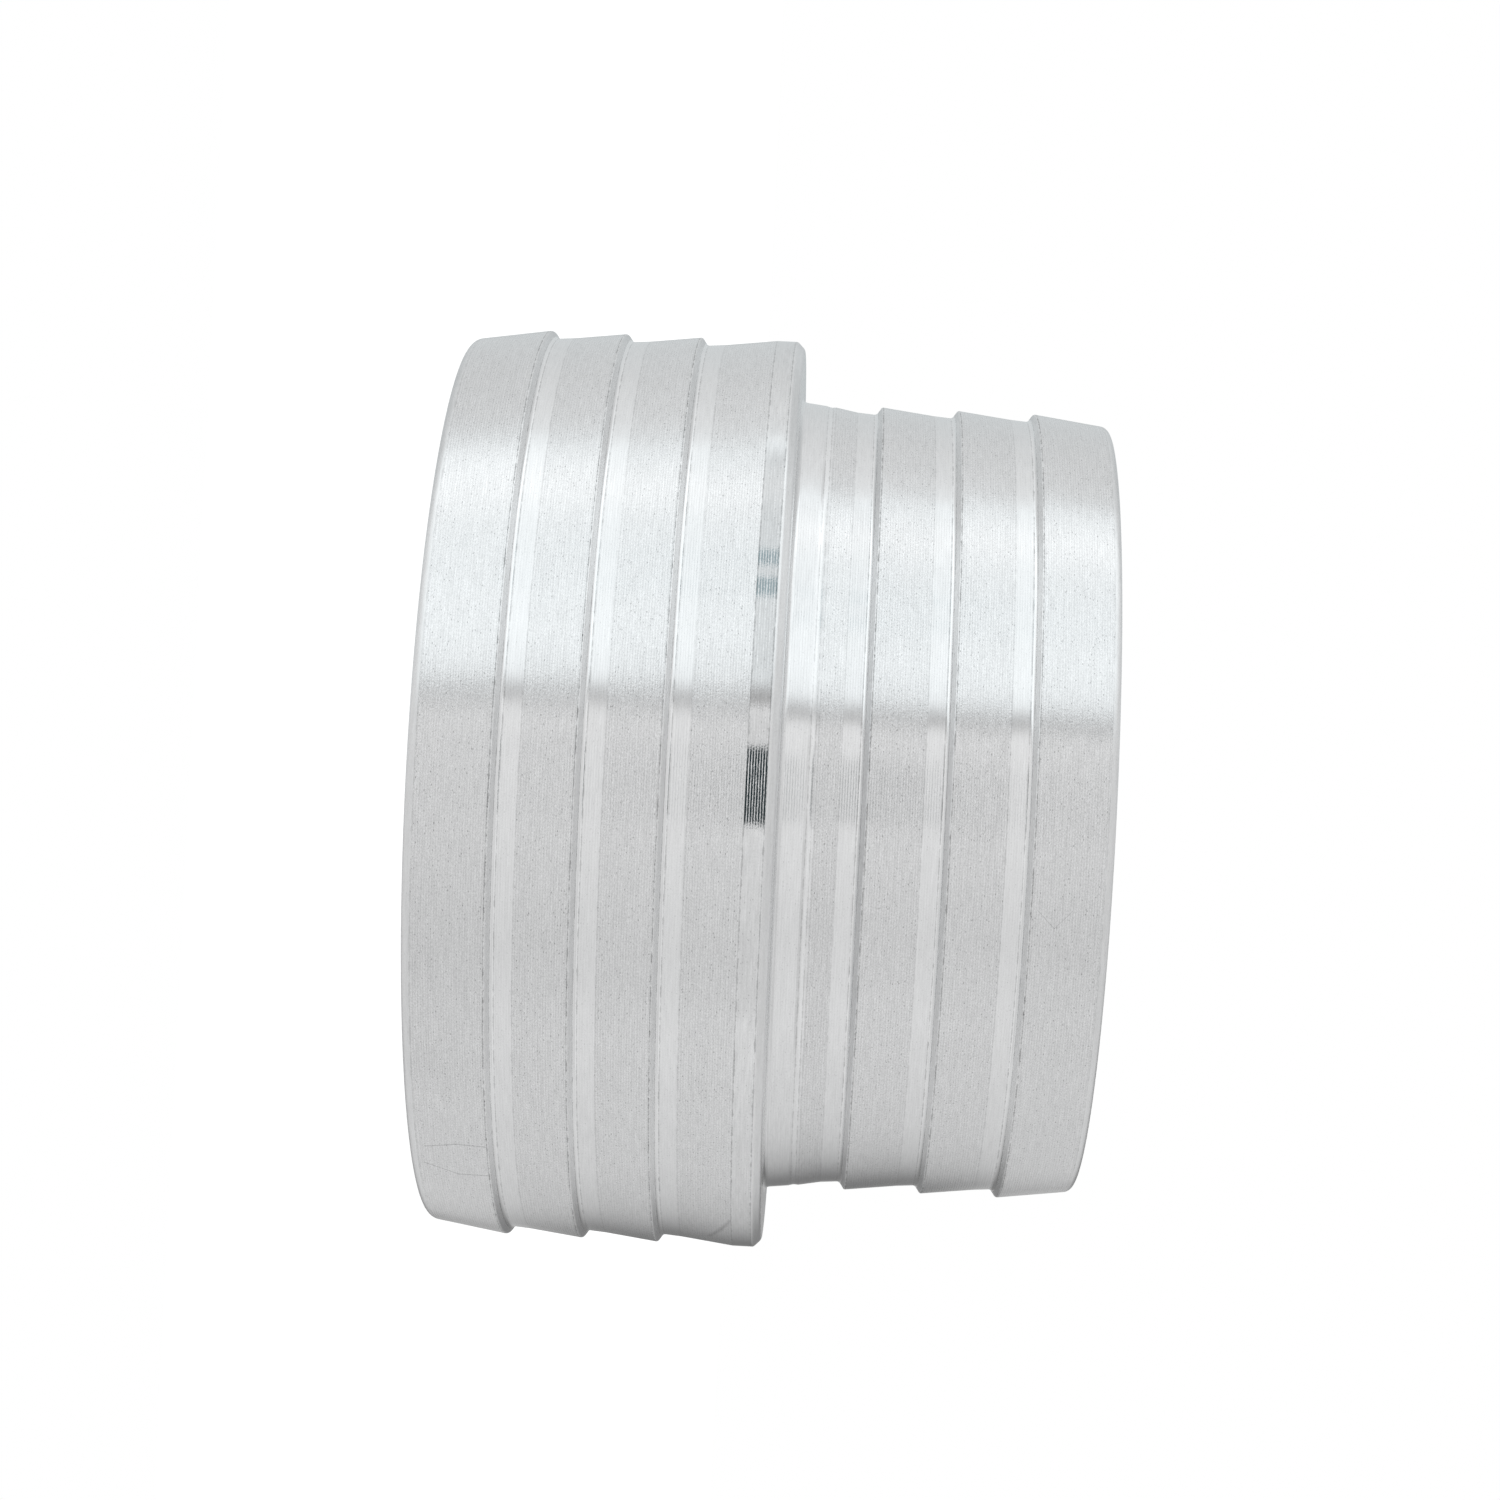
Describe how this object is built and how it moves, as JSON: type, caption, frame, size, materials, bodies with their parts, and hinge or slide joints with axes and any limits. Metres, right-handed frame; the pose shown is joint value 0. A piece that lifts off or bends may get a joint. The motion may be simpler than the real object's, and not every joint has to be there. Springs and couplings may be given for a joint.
{
  "type": "hose barb reducer",
  "caption": "Short turned tube that joins a wide hose to a narrower one: barbed sleeves of two diameters back to back at a square shoulder, with an open bore right through.",
  "frame": {"origin": "centre of the large end face, which the part stands on", "axes": "+Z along the bore axis, from the large end towards the small end"},
  "size_m": [0.0454, 0.0454, 0.0318],
  "materials": {
    "turned_aluminium": "bright lathe-turned, uncoated"
  },
  "bodies": {
    "root": {"reducer_body": "turned_aluminium"}
  },
  "joints": []
}
